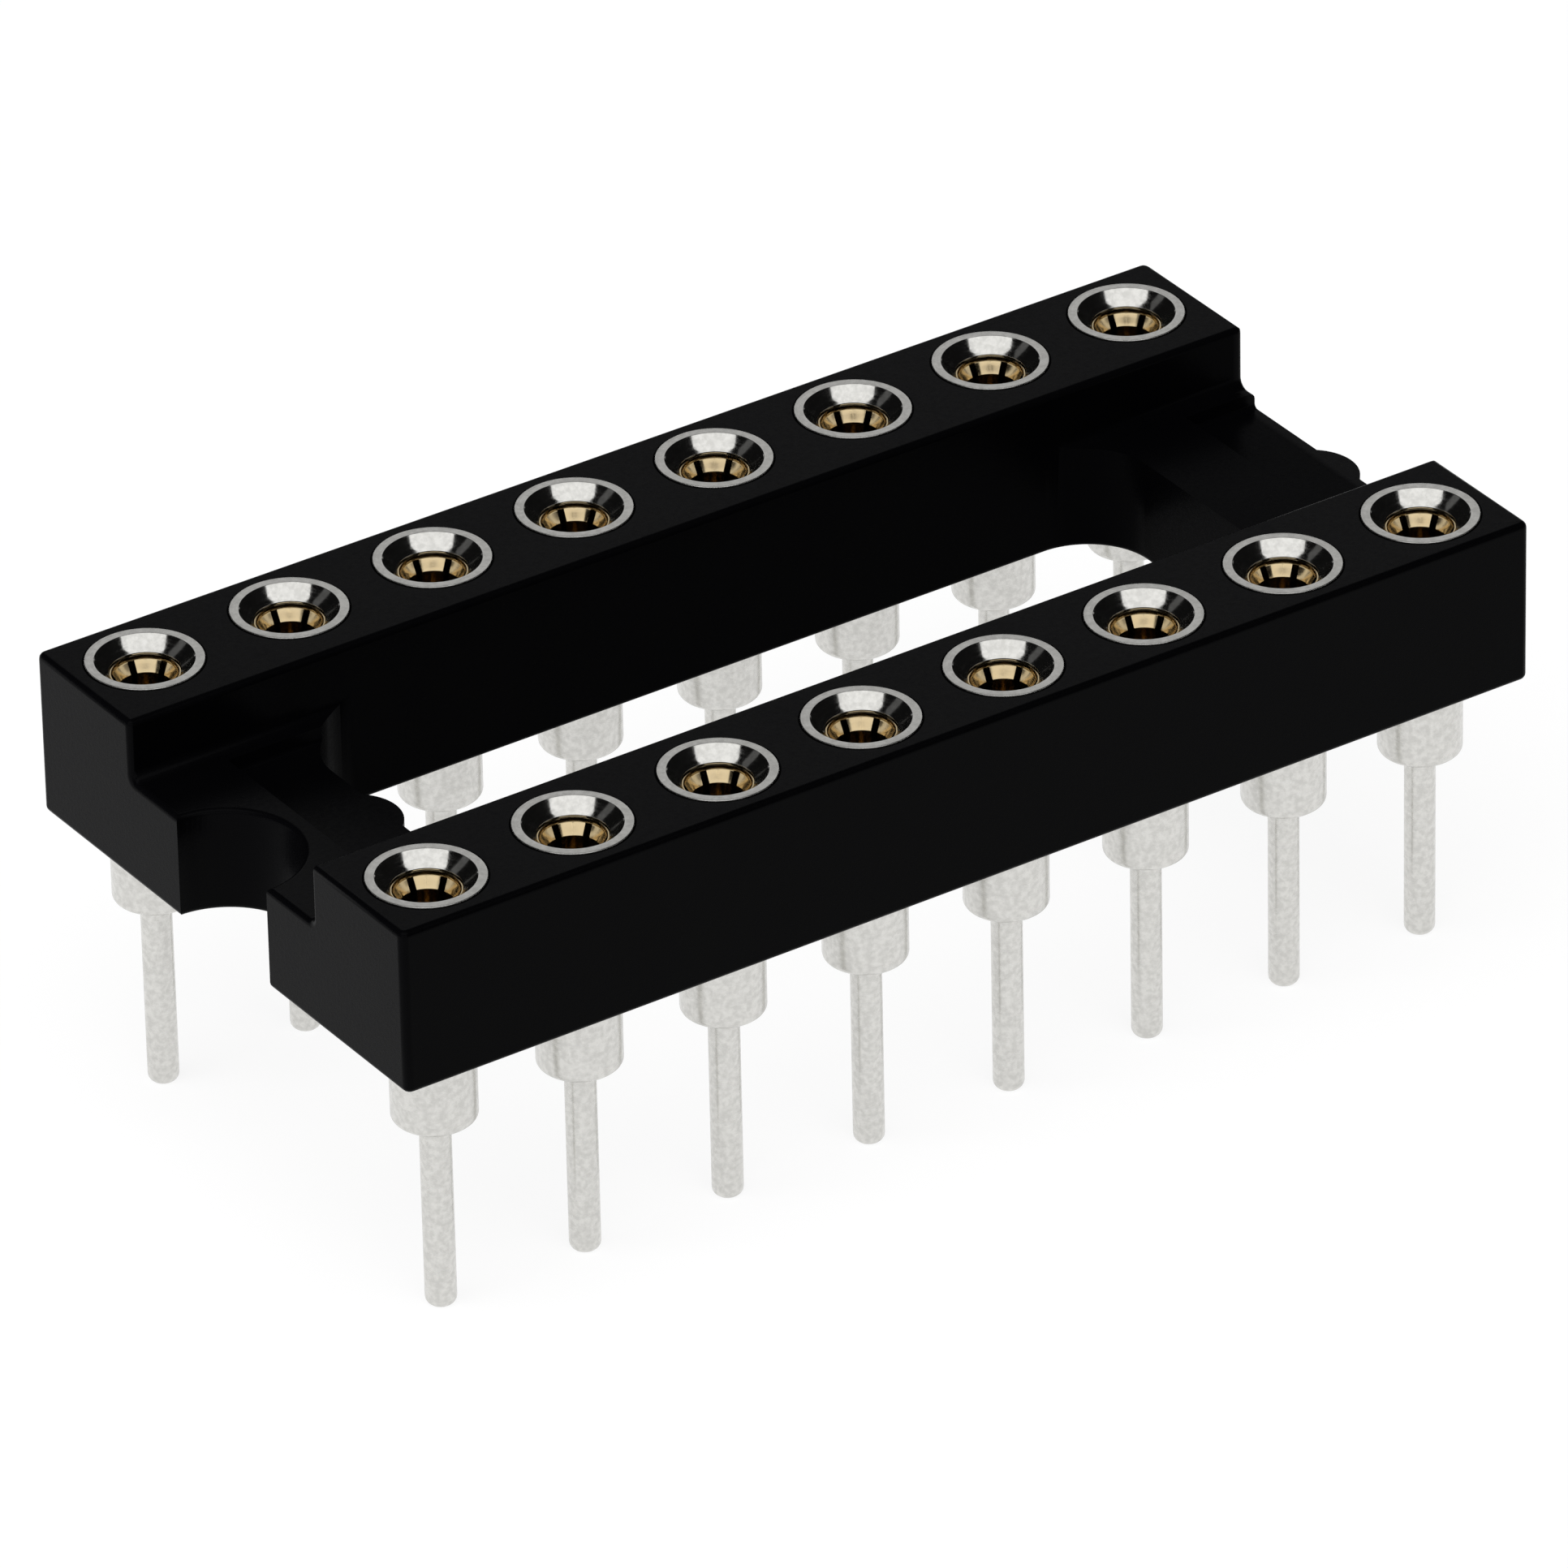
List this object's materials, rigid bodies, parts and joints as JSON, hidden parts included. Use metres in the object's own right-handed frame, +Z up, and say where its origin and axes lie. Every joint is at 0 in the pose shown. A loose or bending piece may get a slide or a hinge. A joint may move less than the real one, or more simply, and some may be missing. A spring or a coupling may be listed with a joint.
{
  "type": "dual in-line socket",
  "caption": "Open-frame through-hole socket with two rows of turned, sprung contacts that hold a dual in-line device above a circuit board.",
  "frame": {"origin": "middle of the contact grid in X and Y, at the height of the solder tails' tips", "axes": "+X along the contact rows, away from the index notch; +Y from the first row of contacts to the second; +Z up, from the tails to the mouths"},
  "size_m": [0.0204, 0.01, 0.0073],
  "materials": {
    "insulator_black": "matte black glass-filled moulding",
    "sleeve_tin": "satin tin plate over turned brass",
    "clip_gold": "bright gold plate over a copper alloy"
  },
  "bodies": {
    "root": {"insulator": "insulator_black", "sleeve_01": "sleeve_tin", "sleeve_02": "sleeve_tin", "sleeve_03": "sleeve_tin", "sleeve_04": "sleeve_tin", "sleeve_05": "sleeve_tin", "sleeve_06": "sleeve_tin", "sleeve_07": "sleeve_tin", "sleeve_08": "sleeve_tin", "sleeve_09": "sleeve_tin", "sleeve_10": "sleeve_tin", "sleeve_11": "sleeve_tin", "sleeve_12": "sleeve_tin", "sleeve_13": "sleeve_tin", "sleeve_14": "sleeve_tin", "sleeve_15": "sleeve_tin", "sleeve_16": "sleeve_tin", "clip_01": "clip_gold", "clip_02": "clip_gold", "clip_03": "clip_gold", "clip_04": "clip_gold", "clip_05": "clip_gold", "clip_06": "clip_gold", "clip_07": "clip_gold", "clip_08": "clip_gold", "clip_09": "clip_gold", "clip_10": "clip_gold", "clip_11": "clip_gold", "clip_12": "clip_gold", "clip_13": "clip_gold", "clip_14": "clip_gold", "clip_15": "clip_gold", "clip_16": "clip_gold"}
  },
  "joints": []
}
